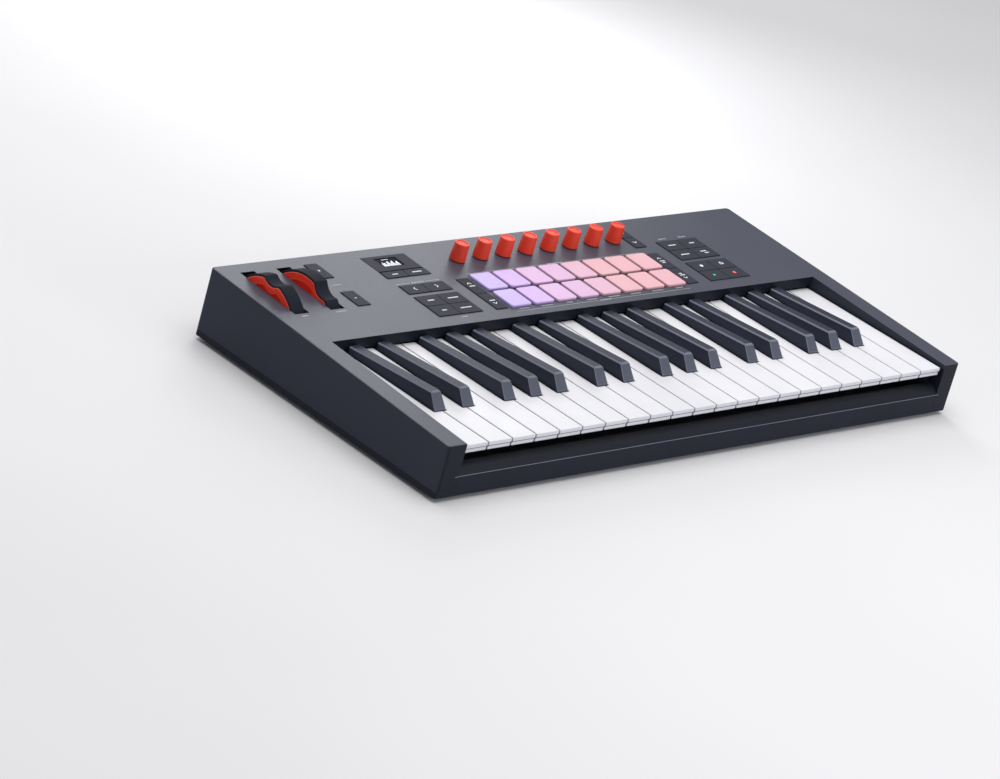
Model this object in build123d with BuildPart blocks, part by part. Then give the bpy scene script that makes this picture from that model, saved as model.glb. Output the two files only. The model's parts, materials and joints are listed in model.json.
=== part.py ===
from build123d import *
import math
import os

os.makedirs("parts", exist_ok=True)

# A 37-key synth-action controller keyboard, standing on its feet.
# +X runs to the player's right, +Y away from the player, +Z up.
# The origin is under the middle of the case, on the surface it stands on.

# ---- driving dimensions, mm ----
width = 555.0
depth = 258.0
front_height = 43.5          # panel height at its front edge
back_height = 56.0           # panel height at its back edge
foot_height = 3.0            # feet below the bottom case
wall = 2.5
part_line = 8.0              # where the top and bottom cases meet
key_pitch = 23.5
white_count = 22
key_gap = 0.9
key_top = 40.7

half_width = width / 2
half_depth = depth / 2
slope = math.atan2(back_height - front_height, depth)
panel_mid = (front_height + back_height) / 2
panel_normal = (0, -math.sin(slope), math.cos(slope))
panel = Plane(origin=(0, 0, panel_mid), x_dir=(1, 0, 0), z_dir=panel_normal)
panel_axis = Axis((0, 0, panel_mid), panel_normal)

# ---- key well ----
well_half = 259.6
well_back = 15.0
well_skin = 2.0
well_wall_foot = 42.2        # lower edge of the wall behind the keys
key_front = -half_depth + 2.7

# ---- key shapes ----
keys_left = -white_count * key_pitch / 2
lip_depth = 2.2              # thickness of the white key's top slab
lip_reach = 1.3              # how far the slab overhangs the front face
white_face = 5.5             # height of the white key's front end
white_skirt = 9.7
front_zone = 13.0            # length of the shallow front end
key_skin = 1.8
black_front = -78.0
black_width = 11.0
black_top_width = 9.2
black_rise = 11.2            # at the front, above the white keys
black_back_rise = 5.2
black_rake = 8.3             # how far the front face leans back
black_clear = 0.8            # side gap between a black key and a white tail
tail_end = 44.5
tail_top = 36.0
tail_foot = 27.0
white_tail_width = 9.0
black_tail_width = 7.4
pivot_y = 40.0
pivot_z = 31.0
pivot_radius = 2.0
running_gap = 0.05
bed_front = -117.0
bed_back = 48.0
strip_y = -10.0              # where the contact strip runs
shelf_top = 20.5
shelf_depth = 26.0
bed_skin = 2.0
bed_lip = 3.0                # upright lip along the keybed's front edge
bed_lip_top = 15.0
ear_depth = 12.0
ear_rise = 4.0               # ears above the pivot rod's centre
strip_skin = 1.2
dome_radius = 3.6
dome_height = 5.8

# ---- panel features: centre x, centre along the slope, width, length ----
button_lift = 0.6
button_gap = 0.5
button_play = 0.35
flange_rim = 0.8
flange_skin = 1.0
wheel_radius = 36.0
wheel_drop = 25.0            # axle below the panel face
wheel_width = 12.4
wheel_slots = {"pitch_wheel": -253.0, "mod_wheel": -218.4}
slot_width = 13.6
slot_length = 62.0
slot_v = 86.0
axle_radius = 3.0
axle_reach = 10.0
bracket_skin = 2.0
hub_radius = 9.0
cheek_radius = 31.5          # the wheel's side faces are recessed inside this
cheek_depth = 3.6
dimple_radius = 13.0
dimple_depth = 3.6
mod_rest_deg = 26            # the mod wheel's dimple rests this far forward of the top
pad_columns = 8
pad_rows = 2
pad_pitch_x = 24.25
pad_pitch_v = 26.1
pad_size = (21.0, 23.0)
pad_centre = (28.2, 51.8)
pad_lift = 1.8
pad_web = 1.4
knob_v = 100.1
knob_base_radius = 6.3
knob_top_radius = 5.7
knob_height = 14.5
knob_gap = 0.7
knob_hole = 4.2
board_drop = 9.0             # main board's upper face below the panel face
board_skin = 1.6
board_middle = (2.0, 68.0)
board_size = (410.0, 88.0)
switch_top = -4.6            # button switches stop just below the pressed flanges
board_posts = [(-196, 86), (-60, 86), (118, 86), (204.2, 60)]

# each button block: centre x, centre v, width, length, columns, rows
octave_blocks = [(-192.0, 106.6, 13.0, 21.5, 1, 1), (-192.0, 65.4, 13.0, 21.0, 1, 1)]
left_blocks = [
    (-119.2, 90.1, 44.9, 9.4, 2, 1),
    (-119.0, 67.8, 45.0, 13.0, 2, 1),
    (-119.0, 42.7, 45.0, 29.9, 2, 2),
    (-76.8, 50.7, 12.5, 46.6, 1, 2),
]
right_blocks = [
    (132.3, 101.6, 12.9, 31.4, 1, 2),
    (132.3, 51.8, 12.5, 48.3, 1, 2),
    (175.6, 76.0, 45.6, 30.1, 2, 2),
    (175.4, 42.3, 46.2, 29.7, 2, 2),
]
display_block = (-119.2, 106.7, 44.9, 21.6)
display_opening = (-119.2, 101.45, 44.9, 32.1)   # shared with the two buttons in front
display_window = (-120.1, 107.9, 21.8, 12.2)

# ---- case edges and underside ----
corner_radius = 3.0
edge_radius = 0.9
floor_skin = 2.5
strip_top = 18.0             # top of the bottom case's front strip
screw_radius = 1.45
screw_hole = 1.5
screw_head_radius = 2.9
boss_radius = 3.6
pillar_top = 13.0
screw_seat = 7.0             # height of the ledge that the screw heads pull on
screw_head = 2.0
screw_bite = 12.0            # thread length in the top case's bosses
screw_sites = [(x * 268.3, y) for x in (-1, 1) for y in (-112, -15, 115)]
screw_sites += [(-60, 118), (60, 118), (160, 118)]
foot_radius = 9.0
foot_sink = 1.0
foot_sites = [(x * 238, y) for x in (-1, 1) for y in (-104, 100)]

# ---- rear sockets, on the back wall ----
socket_z = 28.0
usb_x = -188.0
usb_mouth = (8.6, 7.8)
usb_shell = (12.0, 10.8)
usb_depth = 9.0
usb_tongue = 5.6
pedal_x = -160.0
midi_x = -128.0
lock_x = -98.0
pedal_bore = 3.2
pedal_depth = 14.0
pedal_body = 4.4
midi_radius = 7.9
midi_recess = 6.8
midi_depth = 8.0
midi_pin = 0.8
midi_pin_circle = 4.6
socket_inset = 0.4           # socket faces lie this far inside the back wall's face
socket_board = (-158.0, 78.0, 17.0)   # centre x, width, depth


def slab(x, v, w, length, low, high):
    """A rectangular block square to the panel, between two depths from its face."""
    with BuildPart() as block:
        with BuildSketch(panel.offset(low)):
            with Locations((x, v)):
                Rectangle(w, length)
        extrude(amount=high - low)
    return block.part


def finish(part, name):
    part.label = name
    export_step(part, f"parts/{name}.step")


def pad_grid():
    """Centres of the pads on the panel."""
    return GridLocations(pad_pitch_x, pad_pitch_v, pad_columns, pad_rows)


def knob_x(index):
    return pad_centre[0] + (index - (pad_columns - 1) / 2) * pad_pitch_x


def wedge(front, back, left, right, low, drop):
    """A block under the panel: its top lies 'drop' below the panel face."""
    lift = drop / math.cos(slope)
    rise = math.tan(slope)
    with BuildPart() as block:
        with BuildSketch(Plane.YZ.offset(left)):
            with BuildLine():
                Polyline(
                    (front, low),
                    (back, low),
                    (back, panel_mid + back * rise - lift),
                    (front, panel_mid + front * rise - lift),
                    close=True,
                )
            make_face()
        extrude(amount=right - left)
    return block.part


def box(x, y, w, length, low, high):
    """A rectangular block square to the floor."""
    with BuildPart() as block:
        with BuildSketch(Plane.XY.offset(low)):
            with Locations((x, y)):
                Rectangle(w, length)
        extrude(amount=high - low)
    return block.part


def pegs(sites, radius, low, high):
    """Upright round pegs between two heights."""
    with BuildPart() as group:
        with BuildSketch(Plane.XY.offset(low)):
            with Locations(*sites):
                Circle(radius)
        extrude(amount=high - low)
    return group.part


def wheel_axis_yz():
    """The wheels' axle, as (y, z)."""
    y = slot_v * math.cos(slope) + wheel_drop * math.sin(slope)
    z = panel_mid + slot_v * math.sin(slope) - wheel_drop * math.cos(slope)
    return (y, z)


def wheel_plane(x):
    """A plane across the axle: local x up the slope, local y out of the panel."""
    y, z = wheel_axis_yz()
    return Plane(origin=(x, y, z), x_dir=(0, math.cos(slope), math.sin(slope)), z_dir=(1, 0, 0))


# ---- top case ----
def panel_openings():
    blocks = octave_blocks + left_blocks + right_blocks
    with BuildPart() as openings:
        with BuildSketch(panel.offset(-wall - 0.5)):
            for x, v, w, length, columns, rows in blocks:
                with Locations((x, v)):
                    Rectangle(w, length)
            with Locations(display_opening[:2]):
                Rectangle(*display_opening[2:])
            for x in wheel_slots.values():
                with Locations((x, slot_v)):
                    Rectangle(slot_width, slot_length)
            with Locations(pad_centre):
                with pad_grid():
                    RectangleRounded(pad_size[0] + 0.6, pad_size[1] + 0.6, 2.4)
            for index in range(pad_columns):
                with Locations((knob_x(index), knob_v)):
                    Circle(knob_hole)
        extrude(amount=wall + 5)
    return openings.part


def rear_openings():
    with BuildPart() as openings:
        with BuildSketch(Plane.XZ.offset(-half_depth - 1)):
            with Locations((usb_x, socket_z)):
                Rectangle(usb_shell[0] + 0.6, usb_shell[1] + 0.6)
            with Locations((pedal_x, socket_z)):
                Circle(pedal_body + 0.3)
            with Locations((midi_x, socket_z)):
                Circle(midi_radius + 0.3)
            with Locations((lock_x, socket_z)):
                RectangleRounded(7.0, 3.0, 0.8)
        extrude(amount=wall + 2)
    return openings.part


def front_rail():
    """The curved rail below the keys, above the bottom case's strip."""
    seam = strip_top + 0.2
    with BuildPart() as rail:
        with BuildSketch(Plane.YZ.offset(-well_half)):
            with BuildLine():
                Polyline((-121, 24.6), (-118.5, 24.6), (-118.5, seam), (-half_depth, seam))
                ThreePointArc((-half_depth, seam), (-126.2, 22.3), (-121, 24.6))
            make_face()
        extrude(amount=2 * well_half)
    return rail.part


def wheel_brackets():
    """Two plates beside each wheel slot, bored for the wheel's axle."""
    with BuildPart() as brackets:
        for x in wheel_slots.values():
            for side in (-1, 1):
                plate_x = x + side * (slot_width / 2 + 1.6)
                add(slab(plate_x, slot_v, bracket_skin, 14, -wheel_drop - 6, -wall))
            with BuildSketch(wheel_plane(x).offset(-slot_width)):
                Circle(axle_radius + running_gap)
            extrude(amount=2 * slot_width, mode=Mode.SUBTRACT)
    return brackets.part


def panel_posts():
    """Short posts that carry the main board."""
    with BuildPart() as posts:
        with BuildSketch(panel.offset(-board_drop)):
            with Locations(*board_posts):
                Circle(2.4)
        extrude(amount=board_drop - wall)
    return posts.part


def screw_bosses():
    """Bosses from the bottom case's pillars up to the panel."""
    with BuildPart() as bosses:
        add(pegs(screw_sites, boss_radius, pillar_top, back_height + 1))
        add(wedge(-half_depth, half_depth, -half_width, half_width, 0, wall), mode=Mode.INTERSECT)
        add(pegs(screw_sites, screw_hole, pillar_top, pillar_top + screw_bite + 1), mode=Mode.SUBTRACT)
    return bosses.part


def make_top_case():
    inner_half = half_width - wall
    inner_back = half_depth - wall
    side_wall = well_half + well_skin
    cavities = [
        wedge(well_back + well_skin, inner_back, -inner_half, inner_half, 0, wall),
        wedge(-inner_back, well_back + 5, side_wall, inner_half, 0, wall),
        wedge(-inner_back, well_back + 5, -inner_half, -side_wall, 0, wall),
        wedge(-half_depth - 1, well_back, -well_half, well_half, 0, -5),
        box(0, well_back, 2 * well_half, 4 * well_skin, 0, well_wall_foot),
    ]
    with BuildPart() as top_case:
        add(wedge(-half_depth, half_depth, -half_width, half_width, part_line, 0))
        fillet(top_case.edges().filter_by(Axis.Z), radius=corner_radius)
        fillet(top_case.faces().sort_by(Axis.Z)[-1].edges(), radius=edge_radius)
        for cavity in cavities:
            add(cavity, mode=Mode.SUBTRACT)
        add(front_rail())
        add(panel_openings(), mode=Mode.SUBTRACT)
        add(rear_openings(), mode=Mode.SUBTRACT)
        add(wheel_brackets())
        add(panel_posts())
        add(screw_bosses())
    finish(top_case.part, "top_case")


# ---- bottom case ----
def make_bottom_case():
    low = foot_height
    with BuildPart() as bottom_case:
        with BuildSketch(Plane.XY.offset(low)):
            RectangleRounded(width, depth, corner_radius)
        extrude(amount=part_line - low)
        fillet(bottom_case.faces().sort_by(Axis.Z)[0].edges(), radius=edge_radius)
        floor_top = low + floor_skin
        add(box(0, 0, width - 2 * wall, depth - 2 * wall, floor_top, part_line + 1), mode=Mode.SUBTRACT)
        add(box(0, (wall - depth) / 2, 2 * well_half - 0.6, wall, part_line - 1, strip_top))
        add(pegs(screw_sites, boss_radius + 1.2, low + 1, pillar_top))
        add(pegs(screw_sites, screw_hole, 0, pillar_top + 1), mode=Mode.SUBTRACT)
        add(pegs(screw_sites, screw_head_radius + 0.3, 0, screw_seat), mode=Mode.SUBTRACT)
        add(pegs(foot_sites, foot_radius, 0, low + foot_sink), mode=Mode.SUBTRACT)
    finish(bottom_case.part, "bottom_case")


def make_feet():
    with BuildPart() as feet:
        add(pegs(foot_sites, foot_radius, 0, foot_height + foot_sink))
        chamfer(feet.faces().group_by(Axis.Z)[0].edges(), length=0.8)
    finish(feet.part, "rubber_feet")


def make_screws():
    with BuildPart() as screws:
        add(pegs(screw_sites, screw_head_radius, screw_seat - screw_head, screw_seat))
        add(pegs(screw_sites, screw_radius, screw_seat, pillar_top + screw_bite))
        with BuildSketch(Plane.XY.offset(screw_seat - screw_head)):
            with Locations(*screw_sites):
                Rectangle(3.2, 0.8)
                Rectangle(0.8, 3.2)
        extrude(amount=1.2, mode=Mode.SUBTRACT)
    finish(screws.part, "case_screws")


# ---- keybed ----
def ear_places():
    """Where the pivot rod is held: beside each group of keys, in the gaps between tails."""
    places = [keys_left - 0.6]
    for octave in range(3):
        octave_left = keys_left + octave * 7 * key_pitch
        places.append(octave_left + 3 * key_pitch)
        places.append(octave_left + 7 * key_pitch)
    places.append(-keys_left + 0.2)
    return places


def make_keybed():
    low = foot_height + floor_skin
    bed_half = well_half - 1.5
    bed_width = 2 * bed_half
    with BuildPart() as keybed:
        add(box(0, (bed_front + bed_back) / 2, bed_width, bed_back - bed_front, low, low + bed_skin))
        add(box(0, bed_front + bed_lip / 2, bed_width, bed_lip, low, bed_lip_top))
        add(box(0, strip_y, bed_width, shelf_depth, low, shelf_top))
        add(box(0, strip_y, bed_width - 6, shelf_depth - 6, low + bed_skin, shelf_top - bed_skin),
            mode=Mode.SUBTRACT)
        for x in ear_places():
            add(box(x, pivot_y, bed_skin, ear_depth, low, pivot_z + ear_rise))
        with BuildSketch(Plane.YZ.offset(-bed_half + 0.5)):
            with Locations((pivot_y, pivot_z)):
                Circle(pivot_radius)
        extrude(amount=2 * bed_half - 1)
    finish(keybed.part, "keybed_frame")


def make_contact_strip():
    """One silicone strip with a dome under every key."""
    with BuildPart() as strip:
        add(box(0, strip_y, 2 * well_half - 10, 16, shelf_top, shelf_top + strip_skin))
        with BuildSketch(Plane.XY.offset(shelf_top + strip_skin)):
            for x in key_centres():
                with Locations((x, strip_y)):
                    Circle(dome_radius)
        extrude(amount=dome_height, taper=18)
    finish(strip.part, "key_contact_strip")


# ---- keys ----
note_names = ["c", "c_sharp", "d", "d_sharp", "e", "f", "f_sharp", "g", "g_sharp", "a", "a_sharp", "b"]
white_notes = {"c": 0, "d": 1, "e": 2, "f": 3, "g": 4, "a": 5, "b": 6}
black_notes = {"c_sharp": (1, -2.2), "d_sharp": (2, 2.2), "f_sharp": (4, -3.3), "g_sharp": (5, 0.0),
               "a_sharp": (6, 3.3)}


def octave_left(octave):
    return keys_left + octave * 7 * key_pitch


def black_centre(note, octave):
    boundary, shift = black_notes[note]
    return octave_left(octave) + boundary * key_pitch + shift


def tail_sides(note, octave):
    """Left and right sides of a white key between its black neighbours."""
    left = octave_left(octave) + white_notes[note] * key_pitch + key_gap / 2
    right = left + key_pitch - key_gap
    cut = black_width / 2 + black_clear
    place = note_names.index(note)
    before = note_names[place - 1] if place else "b"
    after = note_names[(place + 1) % 12]
    inner_left = black_centre(before, octave) + cut if before in black_notes else left
    last_key = octave == 3
    inner_right = black_centre(after, octave) - cut if after in black_notes and not last_key else right
    return left, right, inner_left, inner_right


def key_centres():
    """Middle of each key's tail, in order."""
    centres = []
    for octave in range(4):
        for note in note_names:
            if octave == 3 and note != "c":
                continue
            if note in black_notes:
                centres.append(black_centre(note, octave))
            else:
                sides = tail_sides(note, octave)
                centres.append((sides[2] + sides[3]) / 2)
    return centres


def key_outline(sides, inset, front, back):
    """A white key's outline from above, drawn 'inset' inside its sides."""
    left, right, inner_left, inner_right = sides
    step = black_front - black_clear - inset
    points = [(left + inset, front), (right - inset, front)]
    if right > inner_right:
        points += [(right - inset, step), (inner_right - inset, step)]
    points.append((inner_right - inset, back))
    points.append((inner_left + inset, back))
    if inner_left > left:
        points += [(inner_left + inset, step), (left + inset, step)]
    return points


def prism(points, low, high):
    with BuildPart() as block:
        with BuildSketch(Plane.XY.offset(low)):
            with BuildLine():
                Polyline(*points, close=True)
            make_face()
        extrude(amount=high - low)
    return block.part


def add_tail(x, tail_width):
    """The hidden arm behind the well, bored for the pivot rod."""
    front = well_back - 8
    with BuildPart() as tail:
        add(box(x, (front + tail_end) / 2, tail_width, tail_end - front, tail_foot, tail_top))
        with BuildSketch(Plane.YZ.offset(x - tail_width)):
            with Locations((pivot_y, pivot_z)):
                Circle(pivot_radius + running_gap)
        extrude(amount=2 * tail_width, mode=Mode.SUBTRACT)
    return tail.part


def make_white_key(note, octave):
    sides = tail_sides(note, octave)
    back = well_back + 1.5
    slab_foot = key_top - lip_depth
    shallow = key_top - white_face
    deep = key_top - white_skirt
    face = key_front + lip_reach
    centre = (sides[2] + sides[3]) / 2
    with BuildPart() as key:
        add(prism(key_outline(sides, 0, key_front, back), slab_foot, key_top))
        fillet(key.edges().filter_by(Axis.Z).group_by(Axis.Y)[0], radius=1.0)
        fillet(key.faces().sort_by(Axis.Z)[-1].edges(), radius=0.6)
        add(prism(key_outline(sides, 0.25, face, back), shallow, slab_foot))
        add(prism(key_outline(sides, 0.25, key_front + front_zone, back), deep, shallow))
        hollow = key_outline(sides, key_skin, face + key_skin, back - key_skin)
        add(prism(hollow, deep - 1, slab_foot), mode=Mode.SUBTRACT)
        for rib_y in (key_front + front_zone, strip_y):
            add(box(centre, rib_y, sides[3] - sides[2] - 1, 2.0, deep, slab_foot))
        add(add_tail(centre, white_tail_width))
    finish(key.part, f"key_{note}{octave + 2}")


def make_black_key(note, octave):
    x = black_centre(note, octave)
    back = well_back - 1.2
    deep = key_top - white_skirt
    with BuildPart() as key:
        with BuildSketch(Plane.YZ.offset(x - black_width / 2)):
            with BuildLine():
                Polyline(
                    (black_front, deep),
                    (black_front, key_top + 0.8),
                    (black_front + black_rake, key_top + black_rise),
                    (back, key_top + black_back_rise),
                    (back, deep),
                    close=True,
                )
            make_face()
        extrude(amount=black_width)
        add(black_flanks(x), mode=Mode.INTERSECT)
        crown = key.faces().filter_by(Axis.Y, reverse=True).sort_by(Axis.Z)[-1]
        fillet(crown.edges(), radius=1.1)
        add(box(x, (black_front + back) / 2, black_width - 4, back - black_front - 12, deep - 1, key_top + 2),
            mode=Mode.SUBTRACT)
        add(box(x, strip_y, black_width - 3, 2.0, deep, key_top))
        add(add_tail(x, black_tail_width))
    finish(key.part, f"key_{note}{octave + 2}")


def black_flanks(x):
    """A bar along Y whose sides lean in above the white keys."""
    foot = key_top - white_skirt - 1
    crest = key_top + black_rise + 1
    with BuildPart() as bar:
        with BuildSketch(Plane.XZ.offset(-half_depth)):
            with BuildLine():
                Polyline(
                    (x - black_width / 2, foot),
                    (x + black_width / 2, foot),
                    (x + black_width / 2, key_top + 0.8),
                    (x + black_top_width / 2, crest),
                    (x - black_top_width / 2, crest),
                    (x - black_width / 2, key_top + 0.8),
                    close=True,
                )
            make_face()
        extrude(amount=2 * half_depth)
    return bar.part


# ---- wheels and knobs ----
def make_wheel(name, x, fan_front, fan_back, dimple_angle):
    """A two-shot wheel: a fan between two angles from the top, with a finger dimple."""
    plane = wheel_plane(x)
    start = 90 - fan_back
    stop = 90 + fan_front
    with BuildPart() as wheel:
        with BuildSketch(plane.offset(-wheel_width / 2)):
            with BuildLine():
                CenterArc((0, 0), wheel_radius, start, stop - start)
                Line(fan_point(start), (0, 0))
                Line(fan_point(stop), (0, 0))
            make_face()
            Circle(hub_radius)
            with Locations(fan_point(90 + dimple_angle, wheel_radius + dimple_radius - dimple_depth)):
                Circle(dimple_radius, mode=Mode.SUBTRACT)
        extrude(amount=wheel_width)
        for side in (-wheel_width / 2, wheel_width / 2 - cheek_depth):
            with BuildSketch(plane.offset(side)):
                Circle(cheek_radius)
                Circle(hub_radius, mode=Mode.SUBTRACT)
            extrude(amount=cheek_depth, mode=Mode.SUBTRACT)
        with BuildSketch(plane.offset(-axle_reach)):
            Circle(axle_radius)
        extrude(amount=2 * axle_reach)
    finish(wheel.part, name)


def fan_point(angle, radius=wheel_radius):
    turn = math.radians(angle)
    return (radius * math.cos(turn), radius * math.sin(turn))


def make_knob(index):
    place = (knob_x(index), knob_v)
    with BuildPart() as knob:
        with BuildSketch(panel.offset(knob_gap)):
            with Locations(place):
                Circle(knob_base_radius)
        with BuildSketch(panel.offset(knob_height)):
            with Locations(place):
                Circle(knob_top_radius)
        loft()
        fillet(knob.edges().filter_by(GeomType.CIRCLE).sort_by(Axis.Z)[-1], radius=0.7)
        with BuildSketch(panel.offset(-board_drop + 1)):
            with Locations(place):
                Circle(axle_radius)
        extrude(amount=board_drop)
    finish(knob.part, f"knob_{index + 1}")


# ---- pads, buttons, display ----
def crown_edges(block):
    """Edges of the faces furthest out of the panel."""
    return block.faces().filter_by(panel).group_by(panel_axis)[-1].edges()


def make_pad_mat():
    with BuildPart() as mat:
        with BuildSketch(panel.offset(-wall - pad_web)):
            with Locations(pad_centre):
                Rectangle(pad_columns * pad_pitch_x - 0.6, pad_rows * pad_pitch_v)
        extrude(amount=pad_web)
        with BuildSketch(panel.offset(-wall - pad_web / 2)):
            with Locations(pad_centre):
                with pad_grid():
                    RectangleRounded(pad_size[0], pad_size[1], 2.2)
        extrude(amount=wall + pad_web / 2 + pad_lift)
        fillet(crown_edges(mat), radius=0.8)
    finish(mat.part, "pad_mat")


def button_block(x, v, w, length, columns, rows):
    """Caps over one hidden flange that keeps them in the case."""
    cap_w = (w - 2 * button_play - (columns - 1) * button_gap) / columns
    cap_l = (length - 2 * button_play - (rows - 1) * button_gap) / rows
    flange_top = -wall - 0.05
    with BuildPart() as block:
        add(slab(x, v, w + 2 * flange_rim, length + 2 * flange_rim, flange_top - flange_skin, flange_top))
        with BuildSketch(panel.offset(flange_top - 0.1)):
            with Locations((x, v)):
                with GridLocations(cap_w + button_gap, cap_l + button_gap, columns, rows):
                    RectangleRounded(cap_w, cap_l, 0.6)
        extrude(amount=button_lift - flange_top + 0.1)
        fillet(crown_edges(block), radius=0.25)
    return block.part


def make_buttons(blocks, name):
    with BuildPart() as buttons:
        for block in blocks:
            add(button_block(*block))
    finish(buttons.part, name)


def make_display():
    x, v, w, length = display_block
    with BuildPart() as display:
        add(slab(x, v, w - 0.6, length - 0.4, -wall - 1, 0.2))
        fillet(crown_edges(display), radius=0.15)
        add(slab(x, v, w - 8, length - 2, -board_drop + 0.2, -wall - 1))
        add(slab(*display_window, -0.5, 1), mode=Mode.SUBTRACT)
    finish(display.part, "display_module")


# ---- boards ----
def make_main_board():
    """The board under the panel, with its pots, switches and pad sensors."""
    foot = -board_drop
    with BuildPart() as board:
        add(slab(*board_middle, *board_size, foot - board_skin, foot))
        sensor_top = -wall - pad_web
        sensor = (pad_columns * pad_pitch_x - 4, pad_rows * pad_pitch_v - 4)
        add(slab(*pad_centre, *sensor, foot - 0.1, sensor_top))
        for index in range(pad_columns):
            add(slab(knob_x(index), knob_v, 9.8, 11.0, foot - 0.1, -wall - 0.4))
        for x, v, w, length, columns, rows in octave_blocks + left_blocks + right_blocks:
            for column in range(columns):
                for row in range(rows):
                    switch_x = x + (column - (columns - 1) / 2) * w / columns
                    switch_v = v + (row - (rows - 1) / 2) * length / rows
                    add(slab(switch_x, switch_v, 5.0, 5.0, foot - 0.1, switch_top))
        with BuildSketch(panel.offset(foot + 0.8)):
            for index in range(pad_columns):
                with Locations((knob_x(index), knob_v)):
                    Circle(axle_radius + running_gap)
        extrude(amount=board_drop, mode=Mode.SUBTRACT)
    finish(board.part, "main_board")


def make_sockets():
    """Socket board with its USB, pedal and MIDI sockets, flush in the back wall."""
    inside = half_depth - wall - 0.3
    face = half_depth - socket_inset
    board_x, board_width, board_depth = socket_board
    board_top = socket_z - 9.5
    usb_half = usb_shell[1] / 2
    with BuildPart() as sockets:
        add(box(board_x, inside - board_depth / 2, board_width, board_depth, board_top - board_skin,
                board_top))
        add(box(usb_x, face - 8, usb_shell[0], 16, socket_z - usb_half, socket_z + usb_half))
        for x, w, top in ((usb_x, 10, 0), (pedal_x, 12, 6), (midi_x, 18, 9)):
            add(box(x, inside - 6.5, w, 13, board_top - 0.5, socket_z + top))
        with BuildSketch(Plane.XZ.offset(-face)):
            with Locations((pedal_x, socket_z)):
                Circle(pedal_body)
            with Locations((midi_x, socket_z)):
                Circle(midi_radius)
        extrude(amount=wall + 1)
        add(socket_mouths(face), mode=Mode.SUBTRACT)
        add(box(usb_x, face - 5, usb_tongue, usb_depth - 0.4, socket_z - 1.5, socket_z + 1.5))
    finish(sockets.part, "rear_sockets")


def socket_mouths(face):
    with BuildPart() as mouths:
        with BuildSketch(Plane.XZ.offset(-face)):
            with Locations((usb_x, socket_z)):
                Rectangle(*usb_mouth)
        extrude(amount=usb_depth)
        with BuildSketch(Plane.XZ.offset(-face)):
            with Locations((pedal_x, socket_z)):
                Circle(pedal_bore)
        extrude(amount=pedal_depth)
        with BuildSketch(Plane.XZ.offset(-face)):
            with Locations((midi_x, socket_z)):
                Circle(midi_recess)
        extrude(amount=midi_depth)
        with BuildSketch(Plane.XZ.offset(-face)):
            with Locations((midi_x, socket_z)):
                with PolarLocations(midi_pin_circle, 5, start_angle=180, angular_range=180, endpoint=True):
                    Circle(midi_pin)
        extrude(amount=midi_depth + 3)
    return mouths.part


# ---- build everything ----
make_top_case()
make_bottom_case()
make_feet()
make_screws()
make_keybed()
make_contact_strip()
for octave in range(4):
    for note in note_names:
        if octave == 3 and note != "c":
            continue
        if note in black_notes:
            make_black_key(note, octave)
        else:
            make_white_key(note, octave)
make_wheel("pitch_wheel", wheel_slots["pitch_wheel"], 84, 84, 0)
make_wheel("mod_wheel", wheel_slots["mod_wheel"], 104, 50, mod_rest_deg)
for index in range(pad_columns):
    make_knob(index)
make_pad_mat()
make_buttons(octave_blocks, "octave_buttons")
make_buttons(left_blocks, "left_buttons")
make_buttons(right_blocks, "right_buttons")
make_display()
make_main_board()
make_sockets()
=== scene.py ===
import json
import math

import bmesh
import bpy
from mathutils import Matrix, Vector


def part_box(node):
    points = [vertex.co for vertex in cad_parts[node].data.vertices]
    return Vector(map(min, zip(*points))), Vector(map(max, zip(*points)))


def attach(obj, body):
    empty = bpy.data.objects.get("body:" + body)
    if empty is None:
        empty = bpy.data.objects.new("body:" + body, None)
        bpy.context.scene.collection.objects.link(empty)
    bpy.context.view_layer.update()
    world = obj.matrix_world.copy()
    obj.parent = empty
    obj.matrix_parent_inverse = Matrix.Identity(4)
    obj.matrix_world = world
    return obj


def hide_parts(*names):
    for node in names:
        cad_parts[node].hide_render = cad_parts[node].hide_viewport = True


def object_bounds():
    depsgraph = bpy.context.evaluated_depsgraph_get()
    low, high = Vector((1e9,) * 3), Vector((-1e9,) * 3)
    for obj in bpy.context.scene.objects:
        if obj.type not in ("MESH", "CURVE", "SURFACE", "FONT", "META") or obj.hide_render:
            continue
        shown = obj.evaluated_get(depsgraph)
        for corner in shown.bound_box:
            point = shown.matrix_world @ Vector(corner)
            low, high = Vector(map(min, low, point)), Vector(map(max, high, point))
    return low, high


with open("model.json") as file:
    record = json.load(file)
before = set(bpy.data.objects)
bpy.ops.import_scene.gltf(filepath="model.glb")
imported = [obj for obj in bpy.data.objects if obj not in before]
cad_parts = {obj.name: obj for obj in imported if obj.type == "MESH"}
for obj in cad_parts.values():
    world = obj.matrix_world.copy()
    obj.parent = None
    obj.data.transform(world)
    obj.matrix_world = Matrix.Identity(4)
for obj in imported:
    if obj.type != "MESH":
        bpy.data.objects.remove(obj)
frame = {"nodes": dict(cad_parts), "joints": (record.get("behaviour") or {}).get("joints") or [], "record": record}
cadLow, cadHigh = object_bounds()
nodes = frame["nodes"]
joints = {joint["name"]: joint for joint in frame["joints"]}
mounts = {mount["name"]: mount for mount in frame["record"]["mounts"]}
mm = 0.001


# camera, lights, floor

cameraSet = {
    "place": (-2.3041, -1.8491, 1.1858),
    "azimuth": -50.16,
    "elevation": 22.33,
    "roll": -15.84,
    "lens": 154.7,
    "sensor": 36.0,
}


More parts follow.
